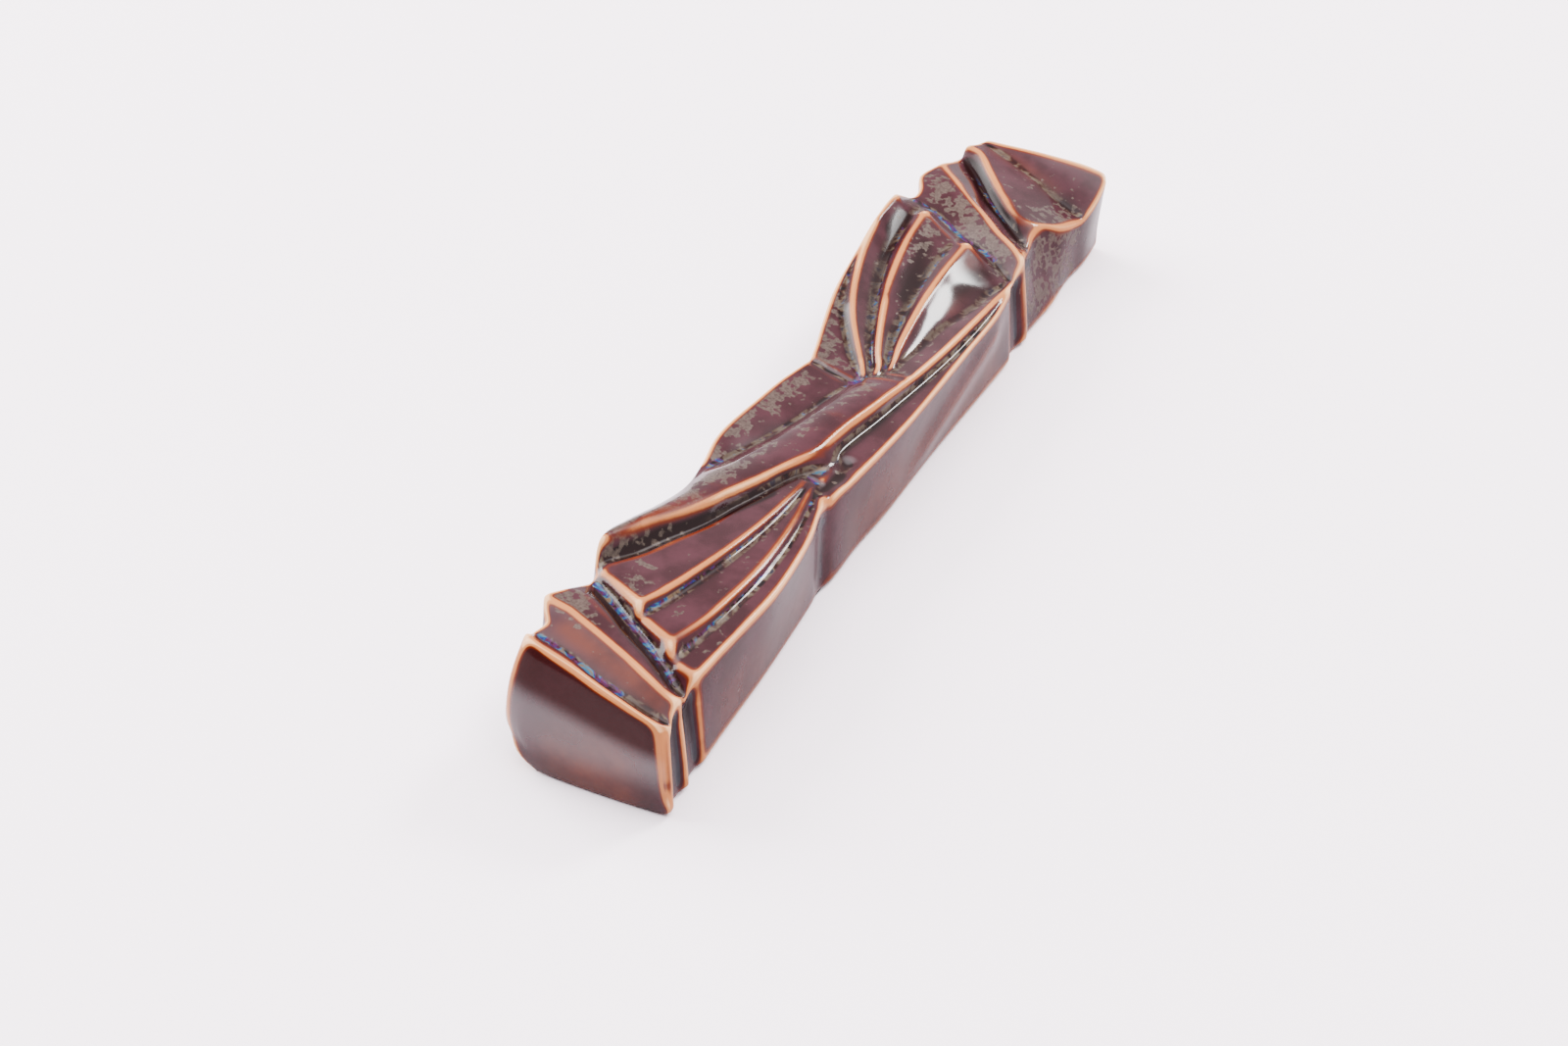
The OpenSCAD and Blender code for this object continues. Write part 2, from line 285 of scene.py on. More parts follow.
# How deep the bands are cut into the right wall: (y, depth).
WALL_CUT = [(-85.4, 0.0), (-84.5, 0.0), (-83.3, 0.9), (-81.0, 1.0), (-79.7, 0.1), (-79.1, 0.1),
            (-78.0, 0.9), (-75.0, 1.0), (-73.9, 0.1), (-73.0, 0.0), (-34.0, 0.0), (-31.5, 0.25),
            (-30.4, 0.3), (-28.0, 0.0), (40.8, 0.0), (42.0, 0.1), (43.4, 1.0), (46.4, 1.1), (48.6, 0.1),
            (49.8, 0.0), (51.4, 0.7), (56.0, 0.5), (62.0, 0.0), (85.6, 0.0)]


# Creases and hollows: how deep, how wide, and (y, x) along the middle.
CREASES = [
    (0.30, 0.45, [(3.5, -8.5), (2.6, -4.0), (2.0, 0.6)]),
    (0.55, 1.50, [(-26.5, 8.9), (-22.5, 9.4), (-18.0, 9.0)]),
    (0.30, 1.20, [(-25.5, 6.4), (-22.0, 6.8)]),
    (0.40, 0.60, [(2.0, 0.8), (3.6, 1.6)]),
]


def curve(keys, at):
    """Values at the places `at` on one smooth curve through keys (place, value, ...)."""
    keys = np.array(keys, float)
    place, values = keys[:, 0], keys[:, 1:]
    slopes = np.gradient(values, place, axis=0)
    at = np.asarray(at, float)
    k = np.clip(np.searchsorted(place, at) - 1, 0, len(place) - 2)
    span = (place[k + 1] - place[k])[..., None]
    u = np.clip((at - place[k])[..., None] / span, 0.0, 1.0)
    start = (2 * u ** 3 - 3 * u ** 2 + 1) * values[k] + (u ** 3 - 2 * u ** 2 + u) * span * slopes[k]
    return start + (3 * u ** 2 - 2 * u ** 3) * values[k + 1] + (u ** 3 - u ** 2) * span * slopes[k + 1]


def straight(keys, at):
    """Values at the places `at` on straight lines between keys (place, value)."""
    keys = np.array(keys, float)
    return np.interp(at, keys[:, 0], keys[:, 1])


def distance_to(points, x, y):
    """Distance in the plane from (x, y) to a line of straight pieces through points (y, x, ...)."""
    nearest = np.full(np.shape(x), 1e9)
    for first, second in zip(points[:-1], points[1:]):
        ay, ax, by, bx = *first[:2], *second[:2]
        dx, dy = bx - ax, by - ay
        t = np.clip(((x - ax) * dx + (y - ay) * dy) / (dx * dx + dy * dy), 0.0, 1.0)
        nearest = np.minimum(nearest, np.hypot(x - ax - t * dx, y - ay - t * dy))
    return nearest


def blur(grid, sigma, step):
    """Soften a height grid over sigma millimetres."""
    reach = int(math.ceil(3 * sigma / step))
    weights = np.exp(-0.5 * (np.arange(-reach, reach + 1) * step / sigma) ** 2)
    weights /= weights.sum()
    for axis in (0, 1):
        pad = [(reach, reach) if a == axis else (0, 0) for a in (0, 1)]
        padded = np.pad(grid, pad, mode="edge")
        size = grid.shape[axis]
        grid = sum(w * np.take(padded, range(i, i + size), axis) for i, w in enumerate(weights))
    return grid


class Front:
    """Height of the carved front over every (x, y)."""

    step = 0.15

    def __init__(self):
        self.xs = np.arange(-17.0, 17.0, self.step)
        self.ys = np.arange(-88.0, 88.0, self.step)
        fans = self.fans()
        heights = self.bands(fans) - self.marks()
        # The lines are first raised by what the blur will take off them.
        heights += 0.9 * (heights - blur(heights, 0.25, self.step))
        self.heights = blur(heights, 0.25, self.step)

    def fans(self):
        """Panels between the lines that run along the case."""
        ys = self.ys

        def line(keys, beyond=None):
            """A line's x and z at every y; past its own ends it lies on another line."""
            points = curve(keys, ys)
            if beyond is not None:
                out = (ys < keys[0][0]) | (ys > keys[-1][0])
                points[out] = beyond[out]
            return points

        left = line(LEFT_EDGE)
        left_groove = line(LEFT_GROOVE)
        before = ys < LEFT_GROOVE[0][0]
        left_groove[before] = left[before]
        lines = [left, left_groove]
        for keys in (FAR_RIDGE_1, FAR_GROOVE_1, FAR_RIDGE_2, FAR_GROOVE_2, FAR_RIDGE_3, FAR_GROOVE_3):
            row = curve(keys, ys)
            early = ys < keys[0][0]
            row[early] = lines[-1][early]
            lines.append(row)
        ridge_at = len(lines)
        lines.append(line(LONG_RIDGE))
        long_groove = line(LONG_GROOVE)
        cut = straight([(-60, 0.5), (-54, 1.0), (-34, 0.9), (-24, 0.0)], ys)
        shelf = long_groove + np.stack([1.1 * cut, 0.0 * cut], axis=1)
        long_groove = long_groove - np.stack([0.6 * cut, 0.9 * cut], axis=1)
        lines += [long_groove, shelf]
        for keys in (NEAR_RIDGE_1, NEAR_GROOVE_1, NEAR_RIDGE_2, NEAR_GROOVE_2, NEAR_RIDGE_3):
            row = curve(keys, ys)
            late = ys > keys[-1][0]
            row[late] = shelf[late]
            lines.append(row)
        lines.append(line(RIGHT_EDGE))
        table = np.array(lines)
        across = np.maximum.accumulate(table[:, :, 0] + 0.01 * np.arange(len(lines))[:, None], axis=0)
        crown = straight([(-60, 0.5), (-50, 0.9), (-30, 1.1), (-10, 1.3), (0, 0.9), (8, 0.0)], ys)
        heights = np.empty((len(ys), len(self.xs)))
        for k in range(len(ys)):
            row = np.interp(self.xs, across[:, k], table[:, k, 1])
            low, high = across[ridge_at - 1, k], across[ridge_at, k]
            t = np.clip((self.xs - low) / max(high - low, 0.1), 0.0, 1.0)
            row += crown[k] * 4 * t * (1 - t)
            # The far panels are scooped out a little, from each ridge to the next groove.
            for first in (2, 4, 6):
                low, high = across[first, k], across[first + 1, k]
                t = np.clip((self.xs - low) / max(high - low, 0.1), 0.0, 1.0)
                row -= 0.05 * min(high - low, 5.0) * 4 * t * (1 - t)
            heights[k] = row
        return heights

    def marks(self):
        """Depth of the short creases and hollows between the fans."""
        x, y = np.meshgrid(self.xs, self.ys)
        depth = np.zeros_like(x)
        for deep, wide, points in CREASES:
            depth = np.maximum(depth, deep * np.exp(-(distance_to(points, x, y) / wide) ** 2))
        return depth

    def bands(self, fans):
        """Bands across both ends, which cut the fans off along their end lines."""
        heights = fans.copy()
        near_lines = (NEAR_RIM, NEAR_BAND_1, NEAR_BAND_2, NEAR_SHELF, NEAR_BAND_3)
        far_lines = (FAR_BAND_1, FAR_BAND_2, FAR_BAND_3, FAR_BAND_4, FAR_VALLEY, FAR_RIM)
        near = [curve(keys, self.xs) for keys in near_lines]
        far = [curve(keys, self.xs) for keys in far_lines]
        near_end = straight(NEAR_FAN_END, self.xs)
        far_end = straight(FAR_FAN_END, self.xs)
        for i in range(len(self.xs)):
            column = fans[:, i]
            places = [p[i, 0] for p in near] + [near_end[i]]
            tops = [p[i, 1] for p in near] + [np.interp(near_end[i], self.ys, column)]
            places = np.maximum.accumulate(np.array(places) + 0.01 * np.arange(len(places)))
            inside = self.ys < near_end[i]
            heights[inside, i] = np.interp(self.ys[inside], places, tops)
            places = [far_end[i]] + [p[i, 0] for p in far]
            tops = [np.interp(far_end[i], self.ys, column)] + [p[i, 1] for p in far]
            places = np.maximum.accumulate(np.array(places) + 0.01 * np.arange(len(places)))
            inside = self.ys > far_end[i]
            heights[inside, i] = np.interp(self.ys[inside], places, tops)
        return heights

    def at(self, x, y):
        """Height at points, between the four nearest places of the grid."""
        u = np.clip((x - self.xs[0]) / self.step, 0, len(self.xs) - 1.001)
        v = np.clip((y - self.ys[0]) / self.step, 0, len(self.ys) - 1.001)
        i, j = u.astype(int), v.astype(int)
        a, b = u - i, v - j
        h = self.heights
        low = h[j, i] * (1 - a) + h[j, i + 1] * a
        high = h[j + 1, i] * (1 - a) + h[j + 1, i + 1] * a
        return low * (1 - b) + high * b


# ---------------------------------------------------------------- marks of the glaze, and painted shade

# Breaks that stay soft: line, strength, and width in mm.
SOFT_LINES = [
    ([(y, x) for x, y, z in NEAR_RIM], 0.11, 0.9),
    ([(y - 0.3, x) for x, y, z in FAR_RIM], 0.14, 0.9),
    ([(y, x) for x, y, z in NEAR_BAND_2], 0.11, 0.7),
    ([(y, x) for x, y, z in FAR_BAND_2], 0.03, 0.5),
]
# The back edge beside the near fan is rounded, so its glaze never breaks: (y, x).
ROUNDED_EDGE = [(-55, -13), (-46, -11.5), (-38, -9.5), (-33, -9.3)]
# Marks of the glaze and of painted shade: strength, reach in mm, and (y, x, z) along the middle. First,
# pewter patches.
SILVER = [
    (0.75, 2.6, [(-58, -12.5, 20), (-50, -10.5, 20), (-40, -7.0, 20), (-30, -4.5, 20)]),
    (0.62, 2.4, [(-28, -10.0, 18), (-18, -9.6, 18), (-8, -7.8, 18), (0, -6.5, 18)]),
    (0.65, 2.2, [(5, -5.0, 18), (14, -9.5, 19), (24, -12.0, 20)]),
    (0.9, 2.6, [(-70, -11, 20), (-72.5, -6, 20)]),
    (0.85, 3.4, [(63, -10.5, 19), (58, -4.5, 19), (53.5, 2.0, 18), (50, 7.5, 17)]),
    (0.85, 6.0, [(54, 12, 10), (62, 12.5, 9), (70, 13, 8)]),
    (0.45, 1.6, [(-30, -5.0, 19), (-16, -1.0, 19), (-4, 3.0, 18), (8, 6.5, 18)]),
    (0.6, 2.4, [(40, -5.0, 20), (48, -5.5, 20)]),
    (0.6, 1.8, [(-58, -5.5, 19), (-64, -3.5, 19)]),
]
# Thin glaze with a red-brown glow.
WARM = [
    (1.0, 3.6, [(-85.9, -4.0, 5), (-85.9, 5.0, 4)]),
    (0.9, 1.9, [(-75.5, -8, 20), (-78.5, 2, 18), (-80.5, 9, 16)]),
    (0.4, 3.0, [(-66, 12.4, 4), (-40, 11.5, 4)]),
    (0.6, 3.4, [(-20, 11.5, 3), (6, 12, 4), (34, 13, 5)]),
    (0.5, 1.6, [(82.5, -7, 17), (80, 0, 17), (77.5, 6, 16)]),
    (0.5, 2.0, [(30, 5.5, 17), (44, 4.0, 18)]),
]
# Painted shade, almost black: in the deepest cuts, on the wall under the long ridge and on some far panels.
PAINTED_SHADE = [
    (1.0, 1.5, [(y, x, z) for x, y, z in FAR_BAND_3]),
    (1.0, 1.6, [(-67.3, -11.5, 19), (-66.6, -9.0, 19), (-68.6, -4.6, 19), (-71.8, 0.6, 18), (-75.3, 6.6, 17),
                (-77.2, 9.5, 16)]),
    (0.7, 2.6, [(34, 4.6, 17), (40, 5.6, 17), (43, 7.0, 17)]),
    (0.6, 1.8, [(28, -2.2, 18), (36, -3.6, 19), (43, -4.6, 19)]),
    (0.8, 1.8, [(44, -11.6, 20), (49, -12.2, 21)]),
    (0.7, 1.2, [(50, -13.0, 20), (44, -13.2, 20)]),
    (0.6, 0.9, [(8, -1.6, 17), (18, -8.2, 18), (28, -11.8, 20)]),
    (0.7, 1.3, [(26, -3.2, 18), (38, -4.6, 19)]),
    (0.7, 1.5, [(75, -8.5, 18), (66, 1.0, 17), (62.5, 6.0, 17)]),
    (1.0, 1.0, [(-21.0, 9.5, 16), (-25.5, 9.0, 16)]),
    (1.0, 1.0, [(-58.5, -10.8, 20), (-50, -6.9, 19), (-44.5, -3.7, 19), (-38, -0.4, 19), (-32, 2.4, 18)]),
]
# Where the glaze shines less.
DULL = [
    (0.9, 1.4, [(6, -0.6, 17), (10, -3.4, 18), (18, -8.8, 18), (28, -12.2, 20)]),
    (0.6, 0.8, [(-42, 5.2, 18), (-28, 6.2, 17)]),
    (0.6, 0.8, [(-46, 10.0, 17), (-28, 8.0, 17)]),
    (0.7, 4.0, [(-75, -10, 20), (-77.5, -2, 19), (-80, 8, 17)]),
    (0.9, 5.0, [(82, -8, 18), (80, 6, 17), (78, 12, 16)]),
    (0.9, 1.7, [(79, -11.5, 18), (70.5, -4, 17), (64.5, 1.8, 17), (60, 7.5, 16)]),
    (0.97, 2.2, [(45.5, 3.0, 18), (42.0, 4.6, 18), (41.0, 7.0, 16)]),
    (0.97, 2.4, [(40, -9.4, 20), (46.7, -10.6, 20), (52, -11.2, 20)]),
    (0.5, 4.0, [(63, -10.5, 19), (53.5, 2.0, 18), (50, 7.5, 17)]),
]
# Blue and violet bloom in the grooves.
BLOOM = [
    (1.0, 1.0, [(56, -11.5, 19), (53.5, -5.1, 18), (50.4, 1.6, 17), (48.5, 6.5, 16)]),
    (1.0, 0.85, [(77, -10.5, 17), (67.1, -1.5, 16), (57.3, 8.4, 15)]),
    (1.0, 1.4, [(-24.5, 6.4, 17), (-22.0, 7.0, 17)]),
    (1.0, 1.3, [(1.0, 0.4, 17), (4.0, 1.4, 17)]),
    (0.9, 1.1, [(-31.5, -9.2, 18), (-28.0, -8.2, 18)]),
    (0.45, 0.9, [(-28, -8.3, 18), (-11, -2.6, 17), (1, 0.4, 17)]),
    (0.5, 0.9, [(3, 1.0, 17), (9, -2.8, 17), (18, -8.6, 18), (28, -12, 20)]),
    (0.9, 0.8, [(-63.6, -10.2, 18), (-70.6, 2.1, 17), (-75, 9.0, 15)]),
    (0.9, 0.9, [(-78, -11, 19), (-80, -5, 19), (-82, 4, 17)]),
    (0.7, 0.7, [(-67, -0.8, 19), (-48, 4.2, 18), (-33, 6, 17)]),
    (0.7, 0.7, [(-70, 7.5, 17), (-50, 9.9, 17), (-30, 8.5, 17)]),
    (0.6, 0.6, [(8, 3.6, 17), (24, 0.3, 17), (44, -0.9, 18)]),
    (0.6, 0.6, [(6, 1.9, 17), (23, -5, 18), (46, -9.9, 20)]),
]


def patches(marks, x, y, z):
    """Strength at every point of the strongest patch near it."""
    strength = np.zeros(len(x))
    for strong, reach, points in marks:
        gap = distance_to(points, x, y)
        level = np.mean([p[2] for p in points])
        gap = np.hypot(gap, 0.6 * np.maximum(np.abs(z - level) - 2.0, 0))
        strength = np.maximum(strength, strong * np.exp(-(gap / reach) ** 2))
    return strength


# ---------------------------------------------------------------- case

FRONT_COLS, LEFT_COLS, RIGHT_COLS = 84, 26, 30
PAD_LOW, PAD_HIGH = box_mm("upper_pad")
POCKET_X = (PAD_HIGH[0] - PAD_LOW[0]) / 2 + 0.3
POCKET_Y = (PAD_HIGH[1] - PAD_LOW[1]) / 2 + 0.3
POCKET_TOP = PAD_HIGH[2]
NEAR_Y, FAR_Y = -85.9, 85.6
# The near face: its rings, how they crowd towards the rim, and how it leans, bows and curves under.
FACE_RINGS, FACE_CROWD = 17, 1.6
FACE_BASE_Z = 5.0
FACE_LEAN = 1.6
FACE_BOW = 0.5
FACE_TUCK = 0.4
HALF_WIDTH = 13.0
LEAN_REACH = 16.0
BODY_RINGS = 500


def ease(t):
    """Smooth step from 0 at 0 to 1 at 1."""
    t = np.clip(t, 0.0, 1.0)
    return t * t * (3 - 2 * t)


def cross_section(front, y):
    """Closed outline of the case at station y, from the left foot over the front and back."""
    both = [float(curve(keys, [y])[0, 0]) for keys in (LEFT_BELLY, LEFT_FOOT, RIGHT_FOOT)]
    belly, left_foot, right_foot = both
    left = float(curve([(p[0], p[1]) for p in NEAR_LEFT + LEFT_EDGE[1:-1] + FAR_LEFT[1:]], [y])[0, 0])
    right = float(curve([(p[0], p[1]) for p in NEAR_RIGHT + RIGHT_EDGE[1:-1] + FAR_RIGHT], [y])[0, 0])
    # Towards the near end the stations lean back with the rim.
    lean = 1 - ease((y - NEAR_Y) / LEAN_REACH)
    xs = left + (right - left) * np.linspace(0, 1, FRONT_COLS)
    rim = curve(NEAR_RIM, xs)[:, 0] - NEAR_Y
    ys = y + lean * rim
    zs = front.at(xs, ys)
    top = np.stack([xs, ys, zs], axis=1)
    t = np.linspace(0, 1, LEFT_COLS + 1)[:-1]
    heights = BACK + (zs[0] - BACK) * t
    keys = [(BACK, left_foot), (4.0, belly + 0.9), (BELLY_Z, belly), (zs[0], left)]
    wall_x = curve(keys, heights)[:, 0]
    wall_y = y + lean * rim[0] * np.clip((heights - FACE_BASE_Z) / (zs[0] - FACE_BASE_Z), 0, 1) ** FACE_LEAN
    left_wall = np.stack([wall_x, wall_y, heights], axis=1)
    t = np.linspace(1, 0, RIGHT_COLS + 1)[1:]
    heights = BACK + (zs[-1] - BACK) * t
    ridge = (y - 40) * 0.28 + 14 - heights
    twist = 0.55 * np.exp(-(ridge / 3.2) ** 2) * ease((y + 4) / 12) * ease((40 - y) / 8)
    cut = float(straight(WALL_CUT, y)) * (1 - 0.35 * ease((heights - 14) / 3))
    wall_x = right_foot + (right - right_foot) * t ** 1.4
    wall_x = wall_x - cut * np.minimum(1, (1 - t) * 6) + twist * 4 * t * (1 - t)
    right_wall = np.stack([wall_x, y + lean * rim[-1] * t, heights], axis=1)
    edge = [right_foot - 1.2, POCKET_X + BORE_X + 0.05, POCKET_X + BORE_X - 0.05]
    inner = list(np.linspace(POCKET_X, -POCKET_X, 7)[1:-1] + BORE_X)
    other = [BORE_X - POCKET_X + 0.05, BORE_X - POCKET_X - 0.05, left_foot + 1.0]
    under_x = np.array(edge + inner + other)
    middle = (PAD_LOW[1] + PAD_HIGH[1]) / 2
    sunk = abs(abs(y) - middle) < POCKET_Y
    under_z = np.full(len(under_x), BACK)
    if sunk:
        under_z[2:-2] = POCKET_TOP
    under = np.stack([under_x, np.full(len(under_x), y), under_z], axis=1)
    ring = np.concatenate([left_wall, top, right_wall, under])
    share = np.clip((ring[:, 2] - FACE_BASE_Z) / 11, 0, 1)
    ring[:, 1] += lean * (foot_tuck(ring[:, 2]) + side_bow(ring[:, 0], share))
    return ring


FACE_MIDDLE = np.array([BORE_X - 0.9, NEAR_Y, 10.5])
FACE_SINK = 0.05
RIM_CREST, RIM_WIDTH, FAR_FROM_RIM = 0.20, 0.85, 9.0
FRONT_GLOSS, WALL_GLOSS = 0.40, 0.03


def face_y(x, z):
    """The near face, which leans back with the rim towards its top and bows at its foot."""
    rim = curve(NEAR_RIM, x)
    share = np.clip((z - FACE_BASE_Z) / (rim[..., 1] - FACE_BASE_Z), 0.0, 1.0)
    return NEAR_Y + (rim[..., 0] - NEAR_Y) * share ** FACE_LEAN + side_bow(x, share) + foot_tuck(z)


def side_bow(x, share):
    """How far the near face curves back towards both sides, most at its foot."""
    return FACE_BOW * (x / HALF_WIDTH) ** 2 * (1 - share)


def foot_tuck(z):
    """How far the foot of the near face curves under."""
    return FACE_TUCK * np.clip(1 - z / FACE_BASE_Z, 0, 1) ** 2


def near_share(row):
    """How far out a ring of the near face lies, from 0 at its middle to 1 at the rim."""
    share = 1 - np.linspace(1, 0, FACE_RINGS) ** FACE_CROWD
    return share[np.clip(row, 0, FACE_RINGS - 1)]


def case_rings(front):
    """Every ring of the case, from the near face over the body into the chamber."""
    stations = np.linspace(NEAR_Y, FAR_Y, BODY_RINGS)
    body = [cross_section(front, y) for y in stations]
    rim = body[0]
    near = []
    for f in 1 - np.linspace(1, 0, FACE_RINGS)[1:-1] ** FACE_CROWD:
        ring = FACE_MIDDLE + (rim - FACE_MIDDLE) * f
        gap = np.linalg.norm((rim - FACE_MIDDLE)[:, ::2], axis=1) * (1 - f)
        held = rim[:, 1] - face_y(rim[:, 0], rim[:, 2])
        sink = FACE_SINK * (1 - np.exp(-gap / 0.8))
        ring[:, 1] = face_y(ring[:, 0], ring[:, 2]) + held * np.exp(-(gap / 0.9)) - sink
        near.append(ring)
    outline = body[-1]
    angles = np.arctan2(outline[:, 2] - BORE_Z, outline[:, 0] - BORE_X)

    def circle(radius, y):
        """A ring of the chamber, with its points at the outline's own angles."""
        return np.stack([BORE_X + radius * np.cos(angles), np.full(len(angles), y),
                         BORE_Z + radius * np.sin(angles)], axis=1)

    seat = circle(SEAT_R, HALF)
    far = []
    for f in (0.06, 0.16, 0.3, 0.5, 0.75, 0.93, 1.0):
        ring = outline + (seat - outline) * f
        ring[:, 1] = FAR_Y + (HALF - FAR_Y) * min(1.0, f * 6)
        far.append(ring)
    floor = HALF - SEAT_DEPTH
    hole = [circle(SEAT_R, HALF - 0.15), circle(SEAT_R, floor + 0.1), circle(SEAT_R - 0.1, floor),
            circle(CHAMBER_R + 0.15, floor)]
    hole += [circle(CHAMBER_R, y) for y in np.linspace(floor - 0.15, HALF - CHAMBER_LEN + 1.2, 24)]
    blind_end = ((0.96, 0.5), (0.85, 0.1), (0.45, 0.0))
    hole += [circle(CHAMBER_R * f, HALF - CHAMBER_LEN + d) for f, d in blind_end]
    return np.array(near + body + far + hole), len(near), len(body)


def soften(rings, rounds, first, last):
    """Even out the rings from first to last, around and along, as melted glaze does."""
    rings = rings.copy()
    for _ in range(rounds):
        around = 0.5 * rings + 0.25 * (np.roll(rings, 1, axis=1) + np.roll(rings, -1, axis=1))
        along = around.copy()
        along[1:-1] = 0.5 * around[1:-1] + 0.25 * (around[:-2] + around[2:])
        rings[first:last] = along[first:last]
    return rings


def case_mesh(rings):
    """One closed skin through all the rings, and each point's ring, column and place in mm."""
    count = rings.shape[1]
    rows = len(rings) + 1
    mesh = bpy.data.meshes.new("glazed_case")
    shape = bmesh.new()
    bmesh.ops.create_uvsphere(shape, u_segments=count, v_segments=rows, radius=1.0)
    shape.to_mesh(mesh)
    shape.free()
    ball = np.empty(len(mesh.vertices) * 3, np.float32)
    mesh.vertices.foreach_get("co", ball)
    ball = ball.reshape(-1, 3).astype(float)
    row = np.rint(np.arccos(np.clip(ball[:, 2], -1, 1)) / math.pi * rows).astype(int)
    column = np.rint(np.arctan2(ball[:, 1], ball[:, 0]) / (2 * math.pi) * count).astype(int) % count
    middle_y = float(face_y(FACE_MIDDLE[0], FACE_MIDDLE[2])) - NEAR_Y - FACE_SINK
    start = FACE_MIDDLE + np.array([0, middle_y, 0])
    end = np.array([BORE_X, HALF - CHAMBER_LEN, BORE_Z])
    inside = (row > 0) & (row < rows)
    places = np.where((row == 0)[:, None], start, end)
    places[inside] = rings[row[inside] - 1, column[inside]]
    mesh.vertices.foreach_set("co", (places * MM).astype(np.float32).ravel())
    mesh.update()

    shape = bmesh.new()
    shape.from_mesh(mesh)
    bmesh.ops.recalc_face_normals(shape, faces=shape.faces)
    shape.to_mesh(mesh)
    shape.free()
    mesh.shade_smooth()
    return mesh, row, column, places


def height_above(mesh, row, column, places, softer):
    """How far each point stands out of the same rings when they are evened out."""
    normals = np.empty(len(mesh.vertices) * 3, np.float32)
    mesh.vertex_normals.foreach_get("vector", normals)
    inside = (row > 0) & (row <= len(softer))
    held = places.copy()
    held[inside] = softer[row[inside] - 1, column[inside]]
    return ((places - held) * normals.reshape(-1, 3)).sum(axis=1)


def rim_crest(row, places):
    """Crest on the near face: it fades inwards from its rim, and is weak on its left and at its foot."""
    share = near_share(row)
    out = np.hypot(places[:, 0] - FACE_MIDDLE[0], places[:, 2] - FACE_MIDDLE[2])
    gap = out * (1 / np.maximum(share, 0.05) - 1)
    gap[share < 0.1] = FAR_FROM_RIM
    strength = RIM_CREST - 0.10 * ease(-(places[:, 0] + 6) / 5) - 0.07 * ease((4 - places[:, 2]) / 4)
    return strength * np.exp(-(gap / RIM_WIDTH) ** 2)


def make_case():
    """The carved and glazed shell, with what its glaze reads kept on its points."""
    sharp, near, body = case_rings(Front())
    outer = near + body
    smooth = soften(sharp, 2, 1, outer + 3)
    # Both end rims are rounder, but only well above the flat back.
    rounder = soften(soften(smooth, 24, near - 5, near + 5), 8, outer - 5, outer + 2)
    share = ease((smooth[:, :, 2:] - 2.0) / 4.0)
    smooth = smooth + share * (rounder - smooth)
    # The back stays flat and its pockets stay crisp.
    back = LEFT_COLS + FRONT_COLS + RIGHT_COLS
    smooth[:, back:] = sharp[:, back:]
    mesh, row, column, places = case_mesh(smooth)
    x, y, z = places.T
    on_face = row < near
    on_front = (column >= LEFT_COLS) & (column < LEFT_COLS + FRONT_COLS) & (row > near) & (row <= outer)

    crest = height_above(mesh, row, column, places, soften(smooth, 7, 1, outer))
    crest = np.where(on_face, rim_crest(row, places), crest)
    # How far each point stands above a much smoother skin; the glaze darkens the hollows by it, partly with
    # painted shade.
    rise = height_above(mesh, row, column, places, soften(smooth, 60, 1, outer))
    rise = np.where(on_face, 0.0, rise)
    # On the rounded left wall only the upper edge breaks.
    below_edge = np.where((column < LEFT_COLS) & (row > near + 5), LEFT_COLS - column, 0)
    crest *= np.exp(-(below_edge / 2.2) ** 2)
    rise *= below_edge == 0
    # Glaze thickens towards the table, so the foot breaks less than the crests.
    # Towards the table the break fades to a rust line: painted shade at the foot.
    crest *= 0.12 + 0.88 * ease((z - 0.3) / 3.0)
    for points, strength, width in SOFT_LINES:
        crest += on_front * strength * np.exp(-(distance_to(points, x, y) / width) ** 2)
    crest *= 1 - 0.95 * np.exp(-(distance_to(ROUNDED_EDGE, x, y) / 2.2) ** 4)
    # Painted shade: no break shows through it, and it darkens the hollows further.
    painted_shade = patches(PAINTED_SHADE, x, y, z) * on_front
    crest *= 1 - 0.95 * painted_shade
    rise -= 0.55 * painted_shade

    at_end = on_face | (row <= near + 1)
    # Painted shade: the upper band of the near face is made darker, for the room it reflects, and kept as the
    # shade mark.
    brow = ease((z - 10.5 + 0.15 * x) / 3.5)
    end_gloss = 1.0 - 0.93 * brow - 0.75 * ease((9 - z) / 6)
    front_gloss = FRONT_GLOSS * (1 - patches(DULL, x, y, z))
    marks = {
        "crest": crest, "rise": rise,
        "silver": patches(SILVER, x, y, z),
        "bloom": patches(BLOOM, x, y, z) * on_front,
        "warm": patches(WARM, x, y, z),
        "wall": 1.0 - on_front * 1.0,
        "shade": brow * at_end,
        "gloss": np.where(at_end, end_gloss, np.where(on_front, front_gloss, WALL_GLOSS)),
    }
    for name, values in marks.items():
        layer = mesh.attributes.new(name, "FLOAT", "POINT")
        layer.data.foreach_set("value", values.astype(np.float32))
    case = bpy.data.objects.new("glazed_case", mesh)
    bpy.context.scene.collection.objects.link(case)
    case.data.materials.append(glaze())
    return case


